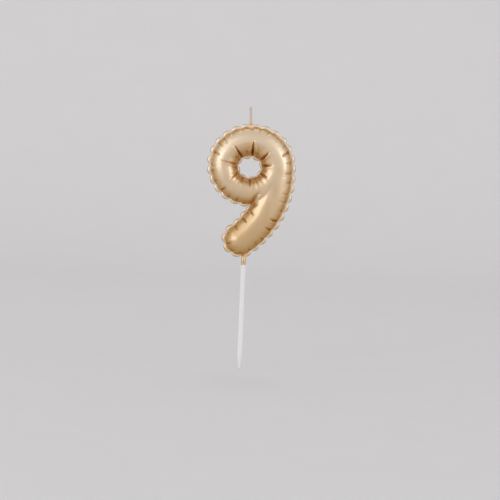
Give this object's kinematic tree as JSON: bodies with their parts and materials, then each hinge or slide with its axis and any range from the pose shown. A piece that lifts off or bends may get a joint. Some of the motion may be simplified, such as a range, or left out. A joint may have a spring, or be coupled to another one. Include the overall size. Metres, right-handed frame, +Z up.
{
  "type": "balloon number candle",
  "caption": "Wax figure 9 candle shaped like a foil balloon, with a scalloped seam and creases, a cotton wick on top and a plastic stick that pushes into a cake.",
  "frame": {"origin": "on the stick's axis, at the cake's surface when the candle is in use", "axes": "+Z up along the stick, +X to the right as the figure is read, front facing -Y"},
  "size_m": [0.0472, 0.0136, 0.1395],
  "materials": {
    "gold_lacquered_wax": "satin champagne-gold metallic lacquer over paraffin wax",
    "waxed_cotton": "pale cream braided cotton, waxed",
    "white_plastic": "plain white moulded plastic, satin"
  },
  "bodies": {
    "root": {"wax_body": "gold_lacquered_wax", "wick": "waxed_cotton", "stick": "white_plastic"}
  },
  "joints": []
}
